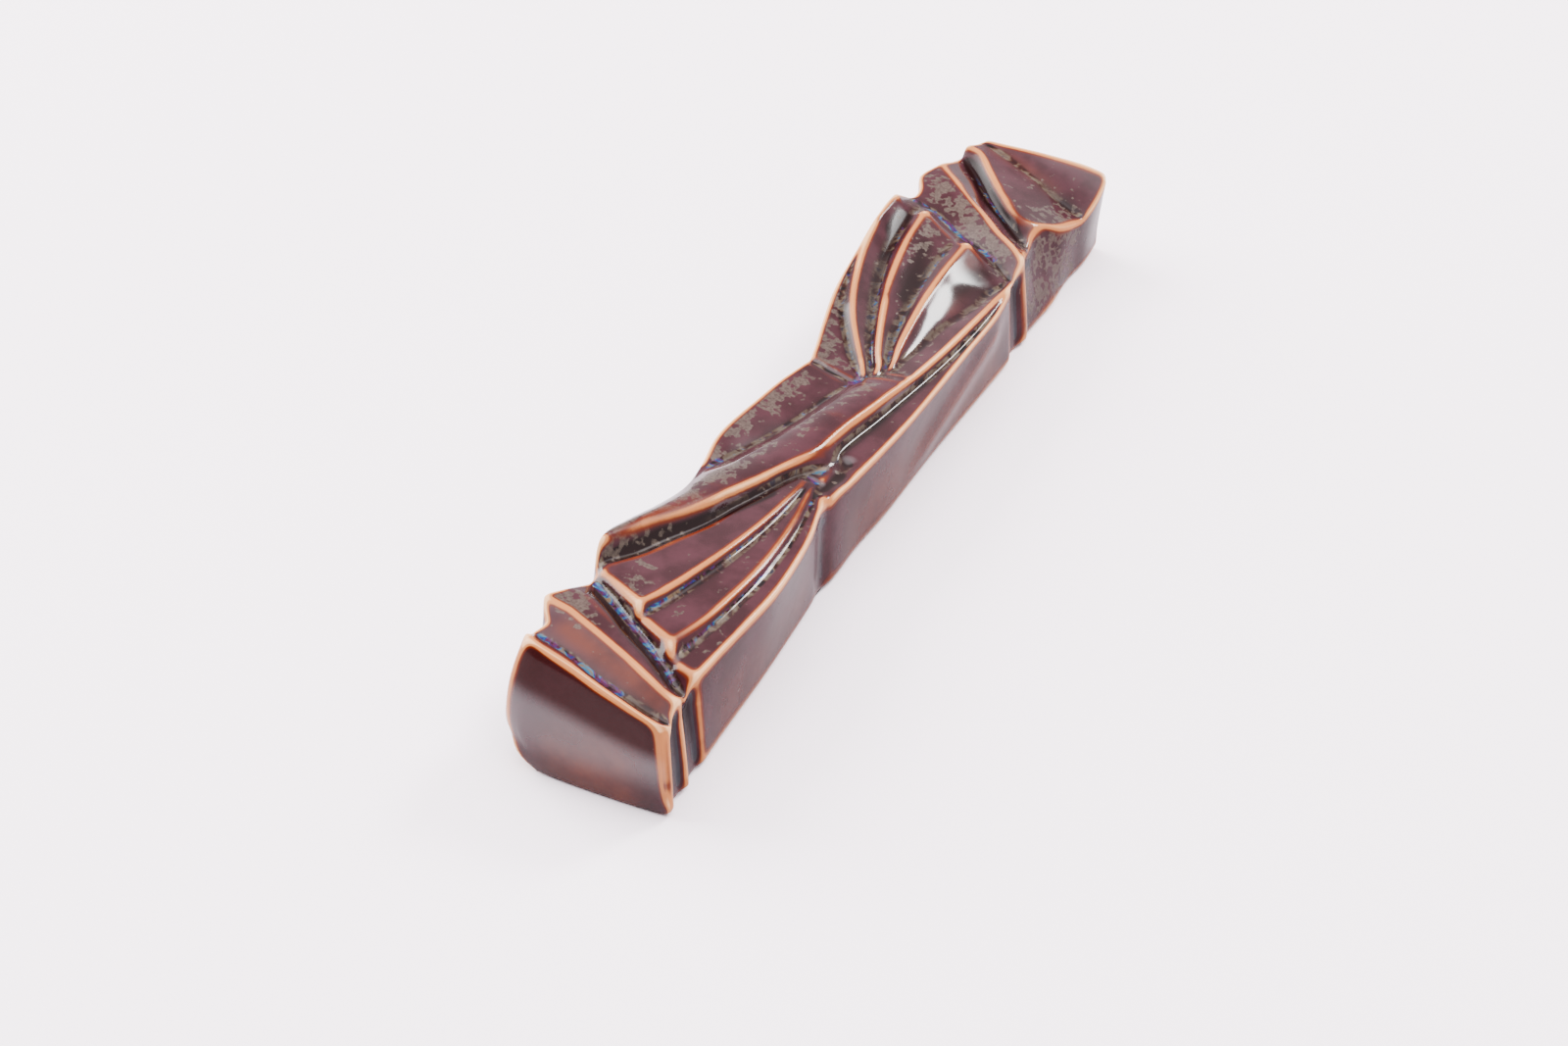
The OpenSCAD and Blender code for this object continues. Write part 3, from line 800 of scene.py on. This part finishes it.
def glaze():
    """Oxblood glaze: it breaks to orange on crests, with a painted highlight along their tops, pools darker
    in cuts, where painted shade deepens it, and blooms and silvers in patches.
    """
    paint = Paint("oxblood_glaze")
    crest, rise = paint.attribute("crest"), paint.attribute("rise")
    silver, bloom = paint.attribute("silver"), paint.attribute("bloom")
    wall, gloss = paint.attribute("wall"), paint.attribute("gloss")
    cloud = paint.noise(150, 3.0, 0.55)
    speckle = paint.noise(2100, 3.0, 0.6)
    blotch = paint.noise(850, 1.6, 0.45, 0.0)
    broad = paint.noise(300, 3.0, 0.6, 0.5)
    rust = paint.step(crest + 0.03 * (broad - 0.5), 0.014, 0.060)
    orange = paint.step(crest + 0.03 * (broad - 0.5), 0.055, 0.115)
    # Whitish peach along the tops of the crests and rims: a painted highlight.
    crest_highlight = paint.step(crest + 0.02 * (speckle - 0.5), 0.14, 0.25)
    pool = paint.step(0.0 - crest + 0.02 * (speckle - 0.5), 0.015, 0.055)
    # Darker in the hollows, most in the deepest: partly glaze pooled thick, partly painted shade, strongest
    # where the painted shade patches lie.
    deep = paint.step(0.0 - rise, 0.04, 0.50)

    body = paint.mix(paint.step(cloud, 0.35, 0.65), (0.020, 0.0046, 0.0064), (0.036, 0.0098, 0.0138))
    body = paint.mix(wall * paint.step(broad, 0.40, 0.75) * 0.5, body, (0.0120, 0.0040, 0.0060))
    glow = paint.attribute("warm") * (0.45 + 0.55 * paint.step(cloud, 0.30, 0.70))
    body = paint.mix(glow, body, (0.074, 0.0160, 0.0085))
    # Painted shade in the hollows, over glaze pooled thick there.
    body = paint.mix(deep, body, (0.0060, 0.0010, 0.0011))
    # Painted shade on the upper band of the near face.
    body = paint.mix(paint.attribute("shade") * (0.75 + 0.5 * (broad - 0.5)), body, (0.0200, 0.0034, 0.0030))
    cover = silver * 0.45 + 0.9 * (blotch - 0.5) + 0.9 * (broad - 0.5) - 0.12 * wall
    tarnish = paint.step(cover, 0.19, 0.30)
    pewter = paint.mix(paint.step(speckle, 0.3, 0.7), (0.040, 0.028, 0.022), (0.082, 0.061, 0.048))
    body = paint.mix(tarnish * 0.72, body, pewter)

    film = paint.ramp(paint.noise(420, 2.0, 0.5, 0.8), [
        (0.38, (0.006, 0.001, 0.002)), (0.46, (0.045, 0.006, 0.028)), (0.51, (0.006, 0.006, 0.070)),
        (0.56, (0.006, 0.070, 0.120)), (0.63, (0.090, 0.055, 0.030))])
    crust = paint.ramp(paint.noise(400, 2.0, 0.55, 0.6), [
        (0.38, (0.004, 0.002, 0.002)), (0.46, (0.020, 0.005, 0.003)), (0.52, (0.055, 0.038, 0.024)),
        (0.62, (0.080, 0.062, 0.044)), (0.70, (0.012, 0.014, 0.022))])
    wet = paint.mix(paint.step(bloom + 0.8 * (blotch - 0.5), 0.45, 0.70), crust, film)
    slate = paint.mix(cloud, (0.014, 0.012, 0.014), (0.030, 0.030, 0.037))
    wet = paint.mix(wall, wet, slate)
    # In the deepest hollows the crust gives way to their painted shade, except where they bloom.
    grooves = pool * (1.0 - 0.85 * deep * (1.0 - bloom))
    body = paint.mix(grooves, body, wet)

    color = paint.mix(rust, body, (0.075, 0.0095, 0.002))
    color = paint.mix(orange, color, (0.340, 0.122, 0.038))
    # The painted highlight on the crest tops.
    color = paint.mix(crest_highlight, color, (0.580, 0.310, 0.145))
    metal = (tarnish * 0.15 + grooves * 0.20) * (1.0 - rust) * gloss * (1 / FRONT_GLOSS)
    rough = 0.25 - 0.18 * paint.step(gloss, 0.0, FRONT_GLOSS) + 0.18 * tarnish + 0.05 * grooves + 0.06 * rust
    ripple = paint.bump(paint.noise(260, 2.0) + 0.15 * speckle * tarnish, 0.00006, 0.5)
    return paint.feed(Base_Color=color, Roughness=rough, Metallic=metal, Normal=ripple, IOR=1.11,
                      Coat_Weight=gloss * (1.0 - 0.6 * orange) * (1.0 - 0.2 * grooves),
                      Coat_Roughness=0.08, Coat_IOR=1.5)


# ---------------------------------------------------------------- stopper, roll and pads

def as_object(name, shape, smooth=True):
    """A finished piece from a bmesh in millimetres."""
    bmesh.ops.recalc_face_normals(shape, faces=shape.faces)
    bmesh.ops.scale(shape, vec=(MM, MM, MM), verts=shape.verts)
    mesh = bpy.data.meshes.new(name)
    shape.to_mesh(mesh)
    shape.free()
    if smooth:
        mesh.shade_smooth()
    piece = bpy.data.objects.new(name, mesh)
    bpy.context.scene.collection.objects.link(piece)
    return piece


def turned(name, profile, steps=96):
    """A round piece about the bore's axis from (y, radius) points that start and end on the axis."""
    shape = bmesh.new()
    verts = [shape.verts.new((BORE_X + radius, y, BORE_Z)) for y, radius in profile]
    edges = [shape.edges.new(pair) for pair in zip(verts[:-1], verts[1:])]
    bmesh.ops.spin(shape, geom=verts + edges, cent=(BORE_X, 0, BORE_Z), axis=(0, 1, 0), angle=2 * math.pi,
                   steps=steps, use_merge=True, use_normal_flip=False, use_duplicate=False)
    bmesh.ops.remove_doubles(shape, verts=shape.verts, dist=0.0005)
    return as_object(name, shape)


def arc(middle, radius, start, end, steps):
    """Points (y, radius) on an arc about middle, between two angles in degrees."""
    angles = np.radians(np.linspace(start, end, steps))
    return [(middle[0] + radius * math.sin(a), middle[1] + radius * math.cos(a)) for a in angles]


def make_stopper():
    """Silicone plug: a dished flange with a moulded ring, a neck and two rounded ribs."""
    top, low = STOPPER_HIGH[1], STOPPER_LOW[1]
    seat = top - 1.4
    rib, neck = 5.70, 5.20
    profile = [(top - 0.35, 0.0), (top - 0.35, 2.2), (top - 0.30, 2.6), (top - 0.08, 2.95)]
    profile += [(top, 3.2), (top, 3.6), (top - 0.08, 3.85), (top - 0.30, 4.15), (top - 0.34, 4.6)]
    profile += [(top - 0.22, 5.2)]
    profile += [(top - 0.03, 5.7), (top, 5.9), (top, FLANGE_R - 0.35)]
    profile += arc((top - 0.3, FLANGE_R - 0.3), 0.3, 80, 0, 6)
    profile += arc((seat + 0.2, FLANGE_R - 0.2), 0.2, 0, -90, 5)
    profile += [(seat, neck + 0.3), (seat - 0.1, neck + 0.08), (seat - 0.35, neck)]
    rise = rib - neck
    swell = np.linspace(0.3, math.pi - 0.3, 11)
    for middle in (seat - 2.2, seat - 4.6):
        profile += [(middle + 1.0, neck), (middle + 0.75, neck + 0.06)]
        profile += [(middle + 0.7 * math.cos(a), neck + rise * math.sin(a)) for a in swell]
        profile += [(middle - 0.75, neck + 0.06), (middle - 1.0, neck)]
    profile += [(low + 1.0, neck), (low + 0.5, neck - 0.12)]
    profile += arc((low + 0.5, neck - 0.62), 0.5, -20, -90, 6)
    profile += [(low, 3.4), (low + 0.15, 3.1), (low + 1.2, 2.9), (low + 1.5, 2.6), (low + 1.6, 0.0)]
    stopper = turned("ribbed_stopper", profile)
    paint = Paint("moulded_silicone")
    grain = paint.noise(2600, 3.0)
    dust = paint.step(paint.noise(420, 4.0, 0.6), 0.52, 0.72)
    rubber = paint.mix(grain, (0.018, 0.016, 0.016), (0.034, 0.030, 0.029))
    color = paint.mix(dust * 0.5, rubber, (0.085, 0.075, 0.07))
    stopper.data.materials.append(paint.feed(
        Base_Color=color, Roughness=0.42 + 0.18 * dust, Normal=paint.bump(grain, 0.00002, 0.6), IOR=1.45))
    return stopper


def rolled_sheet(name, inner, outer, turns, thick, y_low, y_high, per_turn, along, wave):
    """A sheet wound into a spiral about the bore's axis, its ends a little uneven."""
    shape = bmesh.new()
    count = int(turns * per_turn)
    chain = []
    for k in range(count + 1):
        turn = turns * k / count
        radius = inner + thick / 2 + (outer - inner - thick) * k / count
        angle = 2 * math.pi * turn + 2.1
        x, z = BORE_X + radius * math.cos(angle), ROLL_Z + radius * math.sin(angle)
        chain.append(shape.verts.new((x, y_low, z)))
    edges = [shape.edges.new(pair) for pair in zip(chain[:-1], chain[1:])]
    step = (y_high - y_low) / along
    for _ in range(along):
        made = bmesh.ops.extrude_edge_only(shape, edges=edges)["geom"]
        edges = [g for g in made if isinstance(g, bmesh.types.BMEdge)
                 and all(v in made for v in g.verts) and len(g.link_faces) == 1
                 and abs(g.verts[0].co.y - g.verts[1].co.y) < 1e-6]
        moved = [g for g in made if isinstance(g, bmesh.types.BMVert)]
        bmesh.ops.translate(shape, verts=moved, vec=(0, step, 0))
    for vert in shape.verts:
        angle = math.atan2(vert.co.z - ROLL_Z, vert.co.x - BORE_X)
        radius = math.hypot(vert.co.z - ROLL_Z, vert.co.x - BORE_X)
        end = min(vert.co.y - y_low, y_high - vert.co.y)
        fade = max(0.0, 1 - end / 6)
        shift = wave * fade * (0.5 + 0.5 * math.sin(1.7 * radius + 2 * angle))
        vert.co.y += shift if vert.co.y < (y_low + y_high) / 2 else -shift
    bmesh.ops.recalc_face_normals(shape, faces=shape.faces)
    bmesh.ops.solidify(shape, geom=shape.faces[:], thickness=thick)
    return as_object(name, shape)


def make_roll():
    """The parchment's spiral and the clear film round it."""
    scroll = rolled_sheet("rolled_parchment", inner=2.2, outer=4.9, turns=6.6, thick=0.26,
                          y_low=ROLL_LOW[1] + 0.02, y_high=ROLL_HIGH[1] - 0.02,
                          per_turn=56, along=20, wave=0.35)
    paint = Paint("scraped_parchment")
    fibre = paint.noise(900, 5.0, 0.65, 0.3)
    vein = paint.step(paint.noise(140, 4.0, 0.6, 1.2), 0.52, 0.60)
    pore = paint.step(paint.cells(2300), 0.10, 0.35)
    color = paint.mix(fibre, (0.62, 0.47, 0.28), (0.80, 0.68, 0.48))
    color = paint.mix(vein * 0.35, color, (0.50, 0.35, 0.19))
    color = paint.mix((1.0 - pore) * 0.25, color, (0.36, 0.24, 0.13))
    scroll.data.materials.append(paint.feed(
        Base_Color=color, Roughness=0.55 + 0.15 * fibre, IOR=1.5,
        Normal=paint.bump(fibre + 0.4 * pore, 0.00005, 0.7)))

    wrap = rolled_sheet("film_sleeve", inner=4.955, outer=5.09, turns=1.15, thick=0.045,
                        y_low=WRAP_LOW[1] + 0.02, y_high=WRAP_HIGH[1] - 0.02,
                        per_turn=96, along=40, wave=0.5)
    paint = Paint("clear_film")
    crease = paint.noise(160, 3.0, 0.6, 1.5)
    haze = paint.step(paint.noise(60, 2.0), 0.4, 0.7)
    wrap.data.materials.append(paint.feed(
        Base_Color=paint.mix(haze, (0.90, 0.93, 0.95), (0.97, 0.97, 0.96)), Roughness=0.06 + 0.10 * haze,
        Alpha=0.16 + 0.14 * haze, Normal=paint.bump(crease, 0.00015, 0.6), IOR=1.5))
    return scroll, wrap


def rounded_plate(name, low, high, corners, edge):
    """A flat plate with rounded corners; corners maps (sign x, sign y) to a radius."""
    shape = bmesh.new()
    bmesh.ops.create_cube(shape, size=1.0)
    low, high = np.array(low), np.array(high)
    for vert in shape.verts:
        vert.co = Vector((low + high) / 2 + np.array(vert.co) * (high - low))
    middle = (low + high) / 2
    for (sx, sy), radius in corners.items():
        upright = [e for e in shape.edges if abs(e.verts[0].co.z - e.verts[1].co.z) > 0.01
                   and (e.verts[0].co.x - middle[0]) * sx > 0.45 * (high[0] - low[0])
                   and (e.verts[0].co.y - middle[1]) * sy > 0.45 * (high[1] - low[1])
                   and abs(e.verts[0].co.x - e.verts[1].co.x) < 0.01]
        bmesh.ops.bevel(shape, geom=upright, offset=radius, offset_type="OFFSET", affect="EDGES", segments=8,
                        profile=0.5, material=-1)
    rim = [e for e in shape.edges if abs(e.verts[0].co.z - e.verts[1].co.z) < 1e-6
           and len({round(f.normal.z) for f in e.link_faces}) > 1]
    bmesh.ops.bevel(shape, geom=rim, offset=edge, offset_type="OFFSET", affect="EDGES", segments=3,
                    profile=0.5, material=-1)
    return as_object(name, shape, smooth=False)


ALL_CORNERS = ((-1, -1), (-1, 1), (1, -1), (1, 1))


def make_pads():
    """Foam tape pads and the peel-off liners over them, upper and lower."""
    foam = Paint("acrylic_foam")
    cell = foam.cells(2600)
    puff = foam.noise(1400, 3.0, 0.6)
    color = foam.mix(puff, (0.70, 0.70, 0.69), (0.82, 0.81, 0.79))
    color = foam.mix(foam.step(cell, 0.1, 0.45), (0.46, 0.46, 0.45), color)
    foam.feed(Base_Color=color, Roughness=0.75 + 0.15 * puff, Normal=foam.bump(cell, 0.00012, 0.8), IOR=1.45)
    waxed = Paint("waxed_paper")
    fibre = waxed.noise(1100, 4.0, 0.65)
    kiss = waxed.step(waxed.noise(90, 2.0), 0.5, 0.7)
    color = waxed.mix(fibre, (0.60, 0.54, 0.38), (0.74, 0.69, 0.54))
    color = waxed.mix(kiss * 0.25, color, (0.80, 0.77, 0.66))
    waxed.feed(Base_Color=color, Roughness=0.35 + 0.2 * fibre, IOR=1.48,
               Normal=waxed.bump(fibre, 0.00002, 0.5))
    pieces = []
    for side in ("upper", "lower"):
        low, high = box_mm(side + "_pad")
        pad = rounded_plate(side + "_foam_pad", low, high, {c: 0.8 for c in ALL_CORNERS}, 0.06)
        pad.data.materials.append(foam.material)
        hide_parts(side + "_pad")
        low, high = box_mm(side + "_liner")
        liner = rounded_plate(side + "_peel_liner", low, high,
                              {(-1, -1): 3.0, (1, -1): 3.0, (-1, 1): 0.8, (1, 1): 0.8}, 0.02)
        liner.data.materials.append(waxed.material)
        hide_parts(side + "_liner")
        pieces += [pad, liner]
    return pieces


# ---------------------------------------------------------------- stage

def add_area(name, place, aim, size, power):
    """A square area light at a place, turned towards a point."""
    light = bpy.data.lights.new(name, "AREA")
    light.shape = "RECTANGLE"
    light.size = size * MM
    light.size_y = size * MM
    light.energy = power
    holder = bpy.data.objects.new(name, light)
    place, aim = Vector(place) * MM, Vector(aim) * MM
    turn = (aim - place).to_track_quat("-Z", "Y")
    holder.matrix_world = Matrix.Translation(place) @ turn.to_matrix().to_4x4()
    bpy.context.scene.collection.objects.link(holder)
    return holder


# Strengths of the room low down and overhead, and where its light rises between them.
SIDE_LIGHT, ROOM_LIGHT = 1.5, 10.0
SIDE_RISE, TOP_RISE = 0.70, 0.90
# The room's colour, and the darker near side with where it starts and ends.
ROOM_WHITE = (1.0, 0.955, 0.985, 1.0)
ROOM_DARK = (0.10, 0.095, 0.095, 1.0)
DARK_SIDE = (-0.25, -0.92, 0.30)
DARK_START, DARK_END = 0.3, 0.8
TABLE_WHITE = (0.935, 0.840, 0.900)
SOFTBOX_TOWARDS = (0.33, 0.68, 0.66)
SOFTBOX_DISTANCE, SOFTBOX_SIZE, SOFTBOX_POWER = 1500, 360, 34.0
BOUNCE_PLACE, BOUNCE_SIZE, BOUNCE_POWER = (-1500, 150, 800), 1400, 110.0


def make_table():
    """A plain matt table top."""
    shape = bmesh.new()
    bmesh.ops.create_grid(shape, x_segments=2, y_segments=2, size=3.0)
    mesh = bpy.data.meshes.new("table")
    shape.to_mesh(mesh)
    shape.free()
    table = bpy.data.objects.new("table", mesh)
    bpy.context.scene.collection.objects.link(table)
    mesh.materials.append(Paint("table_white").feed(Base_Color=TABLE_WHITE, Roughness=0.7))


def make_room():
    """A bright room: darker on the near side, with most of its light from overhead."""
    world = bpy.data.worlds.new("studio")
    world.use_nodes = True
    nodes, links = world.node_tree.nodes, world.node_tree.links
    backdrop = nodes["Background"]
    place = nodes.new("ShaderNodeTexCoord")
    toward = nodes.new("ShaderNodeVectorMath")
    toward.operation = "DOT_PRODUCT"
    toward.inputs[1].default_value = DARK_SIDE
    shade = nodes.new("ShaderNodeMapRange")
    shade.interpolation_type = "SMOOTHSTEP"
    shade.inputs[1].default_value, shade.inputs[2].default_value = DARK_START, DARK_END
    blend = nodes.new("ShaderNodeMix")
    blend.data_type = "RGBA"
    blend.inputs[6].default_value, blend.inputs[7].default_value = ROOM_WHITE, ROOM_DARK
    links.new(place.outputs["Generated"], toward.inputs[0])
    links.new(toward.outputs["Value"], shade.inputs[0])
    links.new(shade.outputs[0], blend.inputs[0])
    links.new(blend.outputs[2], backdrop.inputs["Color"])
    split = nodes.new("ShaderNodeSeparateXYZ")
    rise = nodes.new("ShaderNodeMapRange")
    rise.interpolation_type = "SMOOTHSTEP"
    for index, number in enumerate((SIDE_RISE, TOP_RISE, SIDE_LIGHT, ROOM_LIGHT)):
        rise.inputs[index + 1].default_value = number
    links.new(place.outputs["Generated"], split.inputs[0])
    links.new(split.outputs["Z"], rise.inputs[0])
    links.new(rise.outputs[0], backdrop.inputs["Strength"])
    bpy.context.scene.world = world


def make_lights():
    """A softbox high on the far right and a big soft bounce on the left."""
    aim = (2, 25, 18)
    place = tuple(a + t * SOFTBOX_DISTANCE for a, t in zip(aim, SOFTBOX_TOWARDS))
    add_area("softbox", place, aim, SOFTBOX_SIZE, SOFTBOX_POWER)
    add_area("left_wall_bounce", BOUNCE_PLACE, (0, 0, 0), BOUNCE_SIZE, BOUNCE_POWER)


CAMERA_ELEVATION, CAMERA_TURN = 37.86, 26.15
CAMERA_DISTANCE, CAMERA_TARGET = 404.7, (-2.5, -16.9, 0.0)
CAMERA_LENS, CAMERA_SENSOR = 57.0, 36.0


def make_camera():
    """Camera above the near right, looking along the case from about 0.4 m."""
    elevation, turn = math.radians(CAMERA_ELEVATION), math.radians(CAMERA_TURN)
    level = math.cos(elevation)
    ahead = Vector((-math.sin(turn) * level, math.cos(turn) * level, -math.sin(elevation)))
    camera = bpy.data.cameras.new("camera")
    camera.lens = CAMERA_LENS
    camera.sensor_width = CAMERA_SENSOR
    camera.clip_start = 0.01
    holder = bpy.data.objects.new("camera", camera)
    place = (Vector(CAMERA_TARGET) - ahead * CAMERA_DISTANCE) * MM
    holder.matrix_world = Matrix.Translation(place) @ ahead.to_track_quat("-Z", "Y").to_matrix().to_4x4()
    bpy.context.scene.collection.objects.link(holder)
    bpy.context.scene.camera = holder


make_camera()
make_table()
make_room()
make_lights()
case = make_case()
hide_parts("case_shell")
stopper = make_stopper()
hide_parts("stopper")
scroll, wrap = make_roll()
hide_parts("scroll")
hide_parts("scroll_wrap")
pads = make_pads()
for piece in [case] + pads:
    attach(piece, "case")
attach(stopper, "plug")
for piece in (scroll, wrap):
    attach(piece, "roll")
